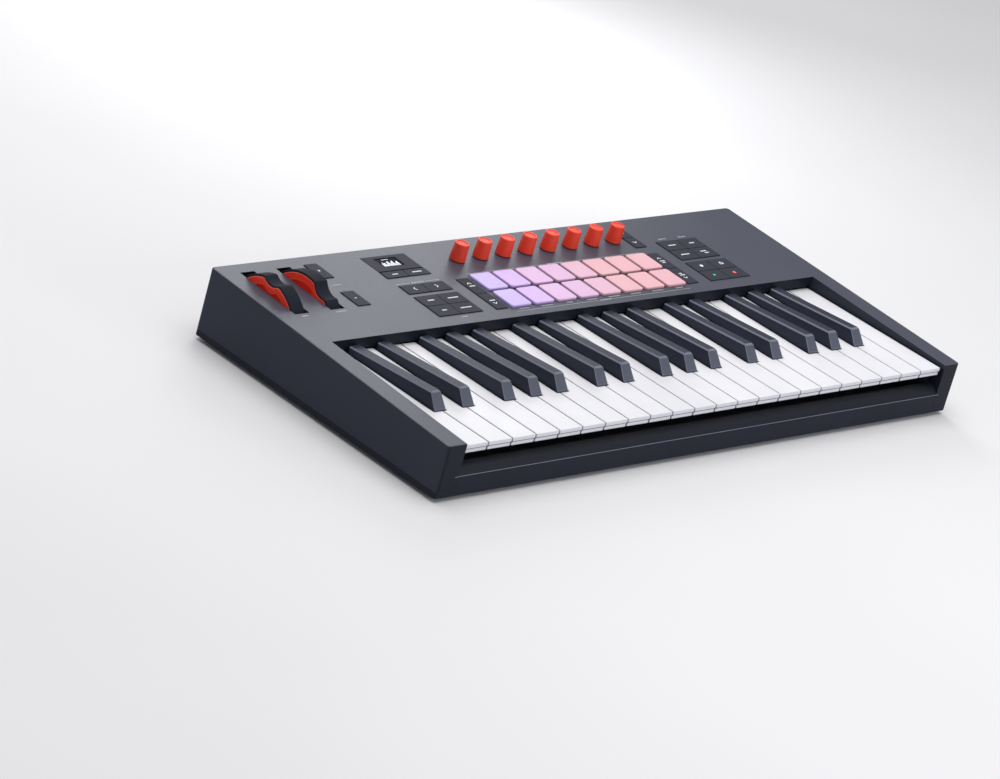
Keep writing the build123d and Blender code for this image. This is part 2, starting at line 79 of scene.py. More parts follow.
def makeCamera(s):
    azimuth, elevation, roll = (math.radians(s[key]) for key in ("azimuth", "elevation", "roll"))
    level = math.cos(elevation)
    back = Vector((math.sin(azimuth) * level, -math.cos(azimuth) * level, math.sin(elevation)))
    right = Vector((0, 0, 1)).cross(back).normalized()
    up = back.cross(right)
    turnedRight = right * math.cos(roll) - up * math.sin(roll)
    turnedUp = right * math.sin(roll) + up * math.cos(roll)
    camera = bpy.data.objects.new("camera", bpy.data.cameras.new("camera"))
    bpy.context.scene.collection.objects.link(camera)
    turn = Matrix((turnedRight, turnedUp, back)).transposed()
    camera.matrix_world = Matrix.Translation(Vector(s["place"])) @ turn.to_4x4()
    camera.data.lens = s["lens"]
    camera.data.sensor_width = s["sensor"]
    camera.data.clip_start = 0.05
    bpy.context.scene.camera = camera


lightSet = [
    {"name": "overheadSoftbox", "place": (-0.1, 0.1, 2.6), "aim": (0, 0, 0), "size": 2.8,
     "watts": 52, "colour": (1.0, 0.985, 0.97)},
    {"name": "frontFill", "place": (0.3, -1.7, 0.55), "aim": (0, 0, 0.03), "size": 0.9,
     "watts": 8, "colour": (0.94, 0.97, 1.0)},
    {"name": "backSheen", "place": (0.42, 0.7, 0.44), "aim": (-0.15, 0.08, 0.05), "size": 0.5,
     "watts": 2.5, "colour": (0.97, 0.98, 1.0)},
]


def makeLight(s):
    light = bpy.data.lights.new(s["name"], "AREA")
    light.size = s["size"]
    light.energy = s["watts"]
    light.color = s["colour"]
    lamp = bpy.data.objects.new(s["name"], light)
    bpy.context.scene.collection.objects.link(lamp)
    lamp.location = s["place"]
    lamp.rotation_euler = (Vector(s["place"]) - Vector(s["aim"])).to_track_quat("Z", "Y").to_euler()
    lamp.visible_camera = False


worldSet = {"colour": (0.95, 0.96, 1.0, 1.0), "strength": 0.32}


def makeWorld(s):
    world = bpy.data.worlds.new("studio")
    bpy.context.scene.world = world
    world.use_nodes = True
    background = world.node_tree.nodes["Background"]
    background.inputs["Color"].default_value = s["colour"]
    background.inputs["Strength"].default_value = s["strength"]
    bpy.context.scene.view_settings.view_transform = "Standard"


# finishes

def screenColour(red, green, blue):    # 0 to 255, as a display shows it
    values = []
    for level in (red, green, blue):
        share = level / 255
        values.append(share / 12.92 if share <= 0.04 else ((share + 0.055) / 1.055) ** 2.4)
    return (*values, 1.0)


def addNode(tree, kind, inputs=None, **settings):
    node = tree.nodes.new("ShaderNode" + kind)
    for key, value in settings.items():
        setattr(node, key, value)
    for key, value in (inputs or {}).items():
        if isinstance(value, bpy.types.NodeSocket):
            tree.links.new(value, node.inputs[key])
        else:
            node.inputs[key].default_value = value
    return node


def addRamp(tree, factor, stops, interpolation="LINEAR"):
    ramp = addNode(tree, "ValToRGB", {"Fac": factor}).color_ramp
    ramp.interpolation = interpolation
    while len(ramp.elements) < len(stops):
        ramp.elements.new(0.5)
    for element, (position, colour) in zip(ramp.elements, stops):
        element.position = position
        element.color = colour
    return tree.nodes[-1].outputs["Color"]


def addMix(tree, factor, first, second):
    mix = addNode(tree, "Mix", data_type="RGBA")
    for key, value in ((0, factor), (6, first), (7, second)):
        if isinstance(value, bpy.types.NodeSocket):
            tree.links.new(value, mix.inputs[key])
        else:
            mix.inputs[key].default_value = value
    return mix.outputs[2]


def addRange(tree, value, fromLow, fromHigh, toLow, toHigh):
    spread = addNode(tree, "MapRange", {"Value": value, "From Min": fromLow, "From Max": fromHigh,
                                        "To Min": toLow, "To Max": toHigh})
    return spread.outputs["Result"]


# one recipe for everything moulded or machined: cloudy colour, fine grain, and painted edge light (rounded edges
# lighter as a painted highlight, or darker as painted shade)
mouldedSet = {
    "cloudScale": 11.0,
    "grainScale": 2600.0,
    "grainDepth": 0.02 * mm,
    "grainStrength": 0.35,
    "edgeRadius": 0.35 * mm,
    "edgeLift": 1.5,
    "edgeAmount": 0.6,
    "roughness": 0.5,
    "roughSpread": 0.08,
    "metallic": 0.0,
    "specular": 0.5,
}


def moulded(name, colour, **changes):
    s = {**mouldedSet, **changes}
    material = bpy.data.materials.new(name)
    material.use_nodes = True
    tree = material.node_tree
    shader = tree.nodes["Principled BSDF"]
    coords = addNode(tree, "TexCoord")
    place = coords.outputs["Object"]
    cloud = addNode(tree, "TexNoise", {"Vector": place, "Scale": s["cloudScale"], "Detail": 4.0})
    grain = addNode(tree, "TexNoise", {"Vector": place, "Scale": s["grainScale"], "Detail": 2.0})
    dark = tuple(0.93 * level for level in colour[:3]) + (1.0,)
    light = tuple(min(1.0, 1.06 * level) for level in colour[:3]) + (1.0,)
    if "stops" in s:
        base = addStops(tree, place, s)
    else:
        base = addRamp(tree, cloud.outputs["Fac"], [(0.35, dark), (0.65, light)])
    if "sideColour" in s:    # painted shade: faces that stand upright are darker than the panel skin
        facing = addNode(tree, "SeparateXYZ", {"Vector": coords.outputs["Normal"]})
        upward = addRange(tree, facing.outputs["Z"], 0.25, 0.8, 0.0, 1.0)
        side = addRamp(tree, cloud.outputs["Fac"], [(0.3, s["sideColour"]), (0.8, dark)])
        side = addMix(tree, 0.12, s["sideColour"], side)
        base = addMix(tree, upward, side, base)
        gloss = addRange(tree, upward, 0.0, 1.0, 0.12, s["specular"])
        tree.links.new(gloss, shader.inputs["Specular IOR Level"])
    if "frontColour" in s:    # painted light on the faces towards the player: shade on the case and white keys, a highlight on the black keys
        facing = addNode(tree, "SeparateXYZ", {"Vector": coords.outputs["Normal"]})
        forward = addRange(tree, facing.outputs["Y"], -0.55, -0.9, 0.0, 1.0)
        base = addMix(tree, forward, base, s["frontColour"])
    # painted edge light: rounded edges, found from the bevel normal, are lightened by edgeLift as a painted
    # highlight, or darkened as painted shade where it is below 1
    rounded = addNode(tree, "Bevel", {"Radius": s["edgeRadius"]}, samples=4)
    geometry = addNode(tree, "NewGeometry")
    turned = addNode(tree, "VectorMath", {0: rounded.outputs["Normal"], 1: geometry.outputs["Normal"]},
                     operation="DOT_PRODUCT")
    edge = addRange(tree, turned.outputs["Value"], 0.995, 0.8, 0.0, s["edgeAmount"])
    worn = addNode(tree, "Math", {0: edge, 1: cloud.outputs["Fac"]}, operation="MULTIPLY")
    lifted = addNode(tree, "Mix", data_type="RGBA", blend_type="MULTIPLY")
    lifted.inputs[0].default_value = 1.0
    tree.links.new(base, lifted.inputs[6])
    lifted.inputs[7].default_value = (s["edgeLift"],) * 3 + (1.0,)
    colourOut = addMix(tree, worn.outputs["Value"], base, lifted.outputs[2])
    if "lines" in s:
        colourOut = addLines(tree, place, colourOut, s["lines"])
    if "patch" in s:
        colourOut = addPatch(tree, place, colourOut, s["patch"])
    if "creaseReach" in s:    # painted shade: narrow gaps are darkened by an ambient occlusion mask
        hidden = addNode(tree, "AmbientOcclusion", {"Distance": s["creaseReach"]}, samples=4)
        depth = addRange(tree, hidden.outputs["AO"], 0.2, 0.85, s["creaseShade"], 1.0)
        crease = addNode(tree, "Mix", data_type="RGBA", blend_type="MULTIPLY")
        crease.inputs[0].default_value = 1.0
        tree.links.new(colourOut, crease.inputs[6])
        tree.links.new(depth, crease.inputs[7])
        colourOut = crease.outputs[2]
    tree.links.new(colourOut, shader.inputs["Base Color"])
    # emission; on the knobs and wheels this is painted light, as they hold no lamp
    if s.get("glow"):
        tree.links.new(colourOut, shader.inputs["Emission Color"])
        shader.inputs["Emission Strength"].default_value = s["glow"]
    rough = addRange(tree, grain.outputs["Fac"], 0.3, 0.7, s["roughness"] - s["roughSpread"],
                     s["roughness"] + s["roughSpread"])
    tree.links.new(rough, shader.inputs["Roughness"])
    bump = addNode(tree, "Bump", {"Height": grain.outputs["Fac"], "Strength": s["grainStrength"],
                                  "Distance": s["grainDepth"], "Normal": rounded.outputs["Normal"]})
    tree.links.new(bump.outputs["Normal"], shader.inputs["Normal"])
    shader.inputs["Metallic"].default_value = s["metallic"]
    shader.inputs["Specular IOR Level"].default_value = s["specular"]
    for socket, value in s.get("shader", {}).items():
        shader.inputs[socket].default_value = value
    return material


def addLines(tree, place, colour, lines):    # fine lines of painted light and shade on the faces in front of a given y
    where = addNode(tree, "SeparateXYZ", {"Vector": place})
    for line in lines:
        middle = addNode(tree, "Math", {0: where.outputs["X"]}, operation="ABSOLUTE")
        inside = addNode(tree, "Math", {0: middle.outputs["Value"], 1: 0.2625}, operation="LESS_THAN")
        level = addNode(tree, "Math", {0: where.outputs["Z"], 1: line["z"], 2: line["half"]},
                        operation="COMPARE")
        ahead = addNode(tree, "Math", {0: where.outputs["Y"], 1: line["behind"]}, operation="LESS_THAN")
        both = addNode(tree, "Math", {0: level.outputs["Value"], 1: ahead.outputs["Value"]},
                       operation="MULTIPLY")
        drawn = addNode(tree, "Math", {0: both.outputs["Value"], 1: inside.outputs["Value"]},
                        operation="MULTIPLY")
        colour = addMix(tree, drawn.outputs["Value"], colour, screenColour(*line["colour"]))
    return colour


def addPatch(tree, place, colour, patch):    # a darker rectangle seen from above
    where = addNode(tree, "SeparateXYZ", {"Vector": place})
    across = addNode(tree, "Math", {0: where.outputs["X"], 1: patch["x"], 2: patch["halfX"]},
                     operation="COMPARE")
    along = addNode(tree, "Math", {0: where.outputs["Y"], 1: patch["y"], 2: patch["halfY"]},
                    operation="COMPARE")
    both = addNode(tree, "Math", {0: across.outputs["Value"], 1: along.outputs["Value"]},
                   operation="MULTIPLY")
    return addMix(tree, both.outputs["Value"], colour, screenColour(*patch["colour"]))


def addStops(tree, place, s):    # one tint for each pad column
    along = addNode(tree, "SeparateXYZ", {"Vector": place})
    share = addRange(tree, along.outputs["X"], s["from"], s["to"], 0.0, 1.0)
    count = len(s["stops"])
    stops = [(index / count, tint) for index, tint in enumerate(s["stops"])]
    return addRamp(tree, share, stops, "CONSTANT")


# panel terms: x along the keys, v up the slope, w out of the panel face

panelNormal = Vector(joints["knob_1_turn"]["axis"]).normalized()
panelRight = Vector((1, 0, 0))
panelUp = panelNormal.cross(panelRight)
panelHeight = Vector(joints["knob_1_turn"]["pos_m"]).dot(panelNormal)


def toPanel(point):
    return Vector((point.x, point.dot(panelUp), point.dot(panelNormal) - panelHeight))


def onPanel(x, v, w):
    return panelRight * x + panelUp * v + panelNormal * (w + panelHeight)


def flatBoxes(node, level):    # the separate flat faces of a node at one height over the panel
    mesh = nodes[node].data
    points = [toPanel(vertex.co) for vertex in mesh.vertices]
    leader = list(range(len(points)))

    def find(index):
        while leader[index] != index:
            leader[index] = leader[leader[index]]
            index = leader[index]
        return index

    used = set()
    for polygon in mesh.polygons:
        corners = list(polygon.vertices)
        if all(abs(points[index].z - level) < 0.01 * mm for index in corners):
            used.update(corners)
            for index in corners[1:]:
                leader[find(index)] = find(corners[0])
    groups = {}
    for index in used:
        groups.setdefault(find(index), []).append(points[index])
    boxes = []
    for group in groups.values():
        xs = [point.x for point in group]
        vs = [point.y for point in group]
        if min(max(xs) - min(xs), max(vs) - min(vs)) > 3 * mm:    # skips slivers of the fillets
            boxes.append({"x": (min(xs) + max(xs)) / 2, "v": (min(vs) + max(vs)) / 2,
                          "wide": max(xs) - min(xs), "long": max(vs) - min(vs)})
    boxes.sort(key=lambda box: (-round(box["v"] / mm), box["x"]))    # far rows first, left to right
    return boxes


def topLevel(node):
    return max(toPanel(vertex.co).z for vertex in nodes[node].data.vertices)


# mesh tools

def rectangle(x, v, wide, long):
    return [Vector((x - wide / 2, v - long / 2)), Vector((x + wide / 2, v - long / 2)),
            Vector((x + wide / 2, v + long / 2)), Vector((x - wide / 2, v + long / 2))]


def circle(x, v, radius, count=48):
    turns = [2 * math.pi * index / count for index in range(count)]
    return [Vector((x + radius * math.cos(turn), v + radius * math.sin(turn))) for turn in turns]


def insetOutline(points, inset):    # points run counter-clockwise
    moved = []
    for index, corner in enumerate(points):
        before = (corner - points[index - 1]).normalized()
        after = (points[(index + 1) % len(points)] - corner).normalized()
        first = Vector((-before.y, before.x))
        second = Vector((-after.y, after.x))
        moved.append(corner + (first + second) * (inset / (1 + first.dot(second))))
    return moved


def roundOutline(points, radius, inset=0.0, steps=4):    # every corner becomes an arc
    outline = []
    moved = insetOutline(points, inset)
    for index, corner in enumerate(moved):
        toBefore = (moved[index - 1] - corner).normalized()
        toAfter = (moved[(index + 1) % len(moved)] - corner).normalized()
        hollow = toAfter.x * toBefore.y - toAfter.y * toBefore.x < 0
        bend = max(radius + (inset if hollow else -inset), 0.03 * mm)
        half = toBefore.angle(toAfter) / 2
        centre = corner + (toBefore + toAfter).normalized() * (bend / math.sin(half))
        start = corner + toBefore * (bend / math.tan(half)) - centre
        end = corner + toAfter * (bend / math.tan(half)) - centre
        first = math.atan2(start.y, start.x)
        sweep = (math.atan2(end.y, end.x) - first + math.pi) % (2 * math.pi) - math.pi
        for step in range(steps + 1):
            turn = first + sweep * step / steps
            outline.append(centre + Vector((math.cos(turn), math.sin(turn))) * bend)
    return outline


def edgeLevels(top, radius, steps=4):    # (inset, height) round a top edge
    turns = [math.pi / 2 * step / steps for step in range(steps + 1)]
    return [(radius * (1 - math.cos(turn)), top - radius + radius * math.sin(turn)) for turn in turns]


def stack(bm, rings, place):    # joins outlines of equal length into one closed solid
    rows = []
    for outline, height in rings:
        rows.append([bm.verts.new(place(point.x, point.y, height)) for point in outline])
    count = len(rows[0])
    for low, high in zip(rows, rows[1:]):
        for index in range(count):
            after = (index + 1) % count
            bm.faces.new((low[index], low[after], high[after], high[index]))
    bm.faces.new(rows[-1])
    bm.faces.new(reversed(rows[0]))


def plate(bm, points, corner, levels, place=onPanel, steps=4):
    stack(bm, [(roundOutline(points, corner, inset, steps), height) for inset, height in levels], place)


def lathe(bm, profile, place, count=56):    # profile is (radius, height) pairs
    stack(bm, [(circle(0, 0, radius, count), height) for radius, height in profile], place)


def addPiece(name, bm, body, materials, replaced=(), sharp=38):
    bmesh.ops.recalc_face_normals(bm, faces=bm.faces)
    mesh = bpy.data.meshes.new(name)
    bm.to_mesh(mesh)
    bm.free()
    mesh.polygons.foreach_set("use_smooth", [True] * len(mesh.polygons))
    mesh.set_sharp_from_angle(angle=math.radians(sharp))
    for material in materials:
        mesh.materials.append(material)
    piece = bpy.data.objects.new(name, mesh)
    bpy.context.scene.collection.objects.link(piece)
    flat = piece.modifiers.new("flatFaces", "WEIGHTED_NORMAL")
    flat.keep_sharp = True
    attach(piece, body)
    if replaced:
        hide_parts(*replaced)
    return piece


# legends: plain bars, dots and arrows, no lettering

legendSet = {
    "thick": 0.05 * mm,
    "letter": [0.62, 0.45, 0.8, 0.5, 0.7],    # widths of a word's blocks, mm, in turn
    "letterGap": 0.34 * mm,
    "letterHeight": 1.3 * mm,
    "chevron": 3.4 * mm,
    "stroke": 0.62 * mm,
}


def flatShape(bm, points, base, s=legendSet):
    stack(bm, [(points, base - 0.02 * mm), (points, base + s["thick"])], onPanel)


def word(bm, x, v, wide, base, s=legendSet):
    start = x - wide / 2
    index = 0
    while start < x + wide / 2:
        block = s["letter"][index % len(s["letter"])] * mm
        flatShape(bm, rectangle(start + block / 2, v, block, s["letterHeight"]), base)
        start += block + s["letterGap"]
        index += 1


def stroke(bm, first, second, base, s=legendSet):
    along = (second - first).normalized() * s["stroke"] / 2
    across = Vector((-along.y, along.x))
    flatShape(bm, [first - along - across, second + along - across, second + along + across,
                   first - along + across], base)


def chevron(bm, x, v, direction, base, s=legendSet):
    reach = s["chevron"]
    along = Vector(direction)
    across = Vector((-along.y, along.x))
    tip = Vector((x, v)) + along * reach * 0.28
    for side in (-1, 1):
        stroke(bm, tip, tip - along * reach * 0.5 + across * side * reach * 0.5, base)


def loopIcon(bm, x, v, base, size=3.0 * mm):
    corners = rectangle(x, v, size, size * 0.72)
    for index in range(4):
        if index != 2:
            stroke(bm, corners[index], corners[(index + 1) % 4], base)
    stroke(bm, corners[3], corners[3] + Vector((size * 0.62, 0)), base)
    stroke(bm, corners[3] + Vector((size * 0.62, 0)), corners[3] + Vector((size * 0.35, size * 0.3)), base)


# finishes by name

gridSet = {"halfX": 96.2 * mm, "halfY": 24.8 * mm, "colour": (34, 36, 46)}    # the dark frame round the pads


def makeFinishes():
    f = {}
    low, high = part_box("pad_mat")
    grid = {**gridSet, "x": (low.x + high.x) / 2, "y": (low.y + high.y) / 2}
    # painted shade: upright faces take a darker side colour, front faces a darker front colour, and the first line
    # darkens the rail under the keys; the second line is a painted highlight along the case seam
    f["panel"] = moulded("caseGrey", screenColour(71, 74, 88),
                         sideColour=screenColour(50, 53, 66), frontColour=screenColour(26, 29, 40),
                         roughness=0.46, grainScale=1900.0, edgeRadius=0.45 * mm, specular=0.45, patch=grid,
                         lines=[{"z": 20 * mm, "half": 20 * mm, "behind": -0.1176, "colour": (27, 30, 41)},
                                {"z": 18.35 * mm, "half": 0.3 * mm, "behind": -0.119,
                                 "colour": (120, 125, 140)}])
    f["lowerCase"] = moulded("caseDark", screenColour(30, 33, 46), roughness=0.5, specular=0.12)
    f["inner"] = moulded("innerBlack", screenColour(46, 46, 50), roughness=0.6)
    f["silicone"] = moulded("contactSilicone", screenColour(140, 140, 142), roughness=0.7)
    f["board"] = moulded("circuitBoard", screenColour(30, 92, 60), roughness=0.4, cloudScale=60.0)
    f["socket"] = moulded("socketBlack", screenColour(38, 38, 41), roughness=0.42)
    f["rubber"] = moulded("footRubber", screenColour(38, 38, 40), roughness=0.8, grainScale=900.0)
    f["steel"] = moulded("screwSteel", screenColour(170, 170, 174), roughness=0.32, metallic=1.0,
                         cloudScale=400.0, edgeRadius=0.1 * mm)
    # painted shade: the edge factor below 1 darkens the key edges, the occlusion mask darkens the gaps, the front
    # colour darkens the fronts, and the line is a painted shadow in the front groove
    f["white"] = moulded("keyWhite", screenColour(242, 242, 247), roughness=0.4, specular=0.3, edgeLift=0.55,
                         edgeAmount=1.5, grainStrength=0.2, edgeRadius=0.5 * mm,
                         creaseReach=5 * mm, creaseShade=0.08,
                         frontColour=screenColour(218, 218, 225),
                         lines=[{"z": 37.45 * mm, "half": 0.42 * mm, "behind": -0.124,
                                 "colour": (84, 85, 94)}])
    # painted highlights: the edge factor lightens the black keys' edges and the front colour lightens their sloped
    # fronts; the next finish is a lighter copy of the same plastic for the chamfers
    f["black"] = moulded("keyBlack", screenColour(46, 50, 66), roughness=0.52, edgeRadius=0.6 * mm,
                         edgeLift=3.6, edgeAmount=1.8, specular=0.22,
                         frontColour=screenColour(108, 112, 126))
    f["blackEdge"] = moulded("keyBlackEdge", screenColour(122, 126, 140), roughness=0.45)
    # painted light: the glow brightens the knobs, which hold no lamp
    f["knob"] = moulded("knobRed", screenColour(236, 66, 40), roughness=0.5, glow=0.05, edgeLift=1.6,
                        edgeAmount=1.2, grainScale=1500.0)
    # painted light: the glow brightens the wheel red, which holds no lamp
    f["wheelRed"] = moulded("wheelRed", screenColour(222, 52, 32), roughness=0.34, edgeLift=2.0,
                            edgeAmount=1.2, edgeRadius=0.5 * mm, glow=0.18)
    # painted highlight: a lighter, glowing copy of the wheel red on the rounded rim faces
    f["wheelLip"] = moulded("wheelLip", screenColour(240, 112, 92), roughness=0.3, glow=0.2)
    f["tread"] = moulded("treadRubber", screenColour(32, 35, 46), roughness=0.75, grainScale=1300.0,
                         grainStrength=0.5, edgeRadius=0.4 * mm, specular=0.15)
    f["button"] = moulded("buttonSlate", screenColour(47, 49, 62), roughness=0.68, edgeRadius=0.2 * mm,
                          specular=0.25)
    f["print"] = moulded("legendWhite", screenColour(238, 240, 246), roughness=0.6, glow=0.3)
    f["print2"] = moulded("panelPrint", screenColour(196, 199, 207), roughness=0.6)
    f["green"] = moulded("playGreen", screenColour(40, 200, 105), roughness=0.5, glow=0.6)
    f["red"] = moulded("recordRed", screenColour(238, 86, 62), roughness=0.5, glow=0.5)
    f["glass"] = moulded("displayGlass", screenColour(22, 22, 28), roughness=0.45, roughSpread=0.03,
                         grainStrength=0.02, specular=0.02)
    f["graphic"] = moulded("displayGlow", screenColour(236, 240, 250), roughness=0.4, glow=0.7)
    return f


nodeFinishes = {
    "top_case": "panel",
    "bottom_case": "lowerCase",
    "keybed_frame": "inner",
    "key_contact_strip": "silicone",
    "main_board": "board",
    "rear_sockets": "socket",
    "rubber_feet": "rubber",
    "case_screws": "steel",
}


def paintNode(node, material):
    piece = nodes[node]
    for place in piece.material_slots:
        place.material = material
    if not piece.material_slots:
        piece.data.materials.append(material)


# wheels

wheelSet = {
    "radius": 36 * mm,
    "half": 6.2 * mm,
    "hub": 9.0 * mm,
    "axle": 3.0 * mm,
    "axleReach": 10.0 * mm,
    "treadThick": 1.5 * mm,
    "rim": 5.4 * mm,
    "lip": 0.75 * mm,
    "webHalf": 2.6 * mm,
    "dimpleRadius": 13.0 * mm,
    "dimpleDepth": 3.6 * mm,
    "blend": 0.5 * mm,
    "steps": 120,
    "fans": {"pitch_wheel": (84, 84, 0), "mod_wheel": (104, 50, 26)},    # front, back, dimple, degrees
}


def wheelRadius(s, radius, offset):    # outer radius, 'offset' radians away from the dimple
    reach = radius + s["dimpleRadius"] - s["dimpleDepth"]
    inside = s["dimpleRadius"] ** 2 - (reach * math.sin(offset)) ** 2
    if inside <= 0 or math.cos(offset) <= 0:
        return radius
    near = reach * math.cos(offset) - math.sqrt(inside)
    mix = max(s["blend"] - abs(near - radius), 0) / s["blend"]
    return min(near, radius) - mix * mix * s["blend"] / 4


def makeWheel(node, s, finish):
    radius = s["radius"]
    joint = joints[node + "_turn"]
    axis = Vector(joint["pos_m"])
    front, back, dimple = s["fans"][node]
    half = s["half"]

    def at(turn, r, x):
        arm = panelNormal * math.cos(turn) - panelUp * math.sin(turn)
        return axis + panelRight * x + arm * r

    def sweep(bm, section):
        rows = []
        for step in range(s["steps"] + 1):
            turn = math.radians(-back + (front + back) * step / s["steps"])
            outer = wheelRadius(s, radius, turn - math.radians(dimple))
            rows.append([bm.verts.new(at(turn, r, x)) for r, x in section(outer)])
        count = len(rows[0])
        for low, high in zip(rows, rows[1:]):
            for index in range(count):
                after = (index + 1) % count
                bm.faces.new((low[index], low[after], high[after], high[index]))
        bm.faces.new(rows[0])
        bm.faces.new(reversed(rows[-1]))

    def treadSection(outer):
        soft = 0.7 * mm
        left = [(outer - s["treadThick"], -half), (outer - soft, -half),
                (outer - soft * 0.3, -half + soft * 0.3), (outer, -half + soft)]
        return left + [(r, -x) for r, x in reversed(left)]

    def coreSection(outer):
        top = outer - s["treadThick"] + 0.05 * mm
        foot = top - s["rim"]
        web = s["webHalf"]
        side = half - 0.15 * mm
        left = [(s["hub"] - 0.5 * mm, -web), (foot - 0.6 * mm, -web), (foot - 0.15 * mm, -web - 0.2 * mm),
                (foot, -web - 0.7 * mm), (foot, -side + 0.6 * mm), (foot + 0.2 * mm, -side + 0.2 * mm),
                (foot + 0.6 * mm, -side), (top - s["lip"], -side), (top - 0.05 * mm, -side + 0.35 * mm)]
        return left + [(r, -x) for r, x in reversed(left)]

    tread = bmesh.new()
    sweep(tread, treadSection)
    core = bmesh.new()
    sweep(core, coreSection)
    core.normal_update()
    # painted highlight: the leaning rim faces take the lighter lip finish
    for face in core.faces:
        arm = face.calc_center_median() - axis
        reach = math.hypot(arm.y, arm.z)
        leans = 0.2 < abs(face.normal.x) < 0.97
        if leans and reach > s["hub"] + 4 * mm and abs(arm.x) > s["webHalf"] + 1.5 * mm:
            face.material_index = 1
    hub = s["hub"]
    soft = 0.4 * mm
    spindle = [(s["axle"] - soft, -s["axleReach"]), (s["axle"], -s["axleReach"] + soft), (s["axle"], -half),
               (hub - soft, -half), (hub, -half + soft)]
    spindle += [(r, -x) for r, x in reversed(spindle)]
    lathe(core, spindle, lambda a, b, h: axis + panelRight * h + panelNormal * a + panelUp * b)
    addPiece(node + "_core", core, node, [finish["wheelRed"], finish["wheelLip"]], [node])
    addPiece(node + "_tread", tread, node, [finish["tread"]])


# knobs

knobSet = {
    "clear": 0.05 * mm,    # keeps the cap inside the kept part's height
    "gap": 0.7 * mm,
    "taper": 0.6 * mm,
    "shaft": 3.0 * mm,
    "shaftDepth": 8.0 * mm,
    "rim": 0.8 * mm,
    "dish": 0.55 * mm,
}


def makeKnob(node, s, finish):
    centre = toPanel(Vector(joints[node + "_turn"]["pos_m"]))
    low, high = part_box(node)
    base = (high.x - low.x) / 2
    crown = base - s["taper"]
    top = topLevel(node) - s["clear"]
    gap = s["gap"]
    profile = [(s["shaft"], -s["shaftDepth"]), (s["shaft"], gap + 0.3 * mm),
               (base - 1.2 * mm, gap + 0.3 * mm),
               (base - 1.0 * mm, gap), (base - 0.25 * mm, gap), (base, gap + 0.25 * mm)]
    profile += [(crown - inset, height) for inset, height in edgeLevels(top, 0.55 * mm, 5)]
    inner = crown - 0.55 * mm - s["rim"]
    profile += [(inner, top), (inner - 0.15 * mm, top - s["dish"] * 0.4),
                (inner - 0.35 * mm, top - s["dish"]),
                (inner - 2.2 * mm, top - s["dish"])]
    bm = bmesh.new()
    lathe(bm, profile, lambda a, b, h: onPanel(centre.x + a, centre.y + b, h))
    addPiece(node + "_cap", bm, node, [finish["knob"]], [node])


# pads

padSet = {
    "grow": 0.8 * mm,
    "corner": 2.2 * mm,
    "soft": 0.5 * mm,
    "crown": 0.08 * mm,
    "webTop": -2.5 * mm,
    "webFoot": -3.8 * mm,
    "tints": [(196, 176, 236), (207, 177, 232), (217, 180, 218), (216, 178, 212), (221, 178, 198),
              (225, 176, 184), (226, 176, 182), (225, 175, 184)],
}


def makePads(s):
    bm = bmesh.new()
    top = topLevel("pad_mat")
    dark = moulded("padWeb", screenColour(44, 46, 56), roughness=0.7)
    web = flatBoxes("pad_mat", s["webTop"])[0]
    plate(bm, rectangle(web["x"], web["v"], web["wide"], web["long"]), 1.0 * mm,
          [(0, s["webFoot"]), (0, s["webTop"])])
    for face in bm.faces:
        face.material_index = 1
    pads = flatBoxes("pad_mat", top)
    for pad in pads:
        wide = pad["wide"] + 2 * s["grow"]
        long = pad["long"] + 2 * s["grow"]
        levels = [(0, s["webTop"] - 0.3 * mm)] + edgeLevels(top, s["soft"], 5)
        levels += [(share * wide / 2, top + s["crown"] * (1 - (1 - share) ** 2))
                   for share in (0.2, 0.45, 0.7)]
        plate(bm, rectangle(pad["x"], pad["v"], wide, long), s["corner"], levels)
    material = moulded("padSilicone", screenColour(230, 190, 220), roughness=0.5, glow=0.16, cloudScale=45.0,
                       grainScale=900.0, grainStrength=0.12, edgeLift=1.12, edgeRadius=0.9 * mm,
                       creaseReach=3 * mm, creaseShade=0.3,
                       stops=[screenColour(*tint) for tint in s["tints"]],
                       **{"from": web["x"] - web["wide"] / 2, "to": web["x"] + web["wide"] / 2},
                       shader={"Subsurface Weight": 0.25, "Subsurface Radius": (0.004, 0.003, 0.004),
                               "Subsurface Scale": 0.5})
    addPiece("lit_pad_mat", bm, "case", [material, dark], ["pad_mat"])
    return pads


# buttons

buttonSet = {
    "grow": 0.25 * mm,
    "corner": 0.7 * mm,
    "soft": 0.22 * mm,
    "capFoot": -2.6 * mm,
    "flangeTop": -2.55 * mm,
    "flangeSkin": 1.0 * mm,
    "legends": {
        "octave_buttons": ["plus", "minus"],
        "left_buttons": ["word5", "word9", "left", "right", "upWord", "word6", "word10", "downWord", "word4",
                         "word11"],
        "right_buttons": ["up", "down", "word8", "word5", "word9", "words", "upWords", "dot", "loop",
                          "downWords", "play", "record"],
    },
}


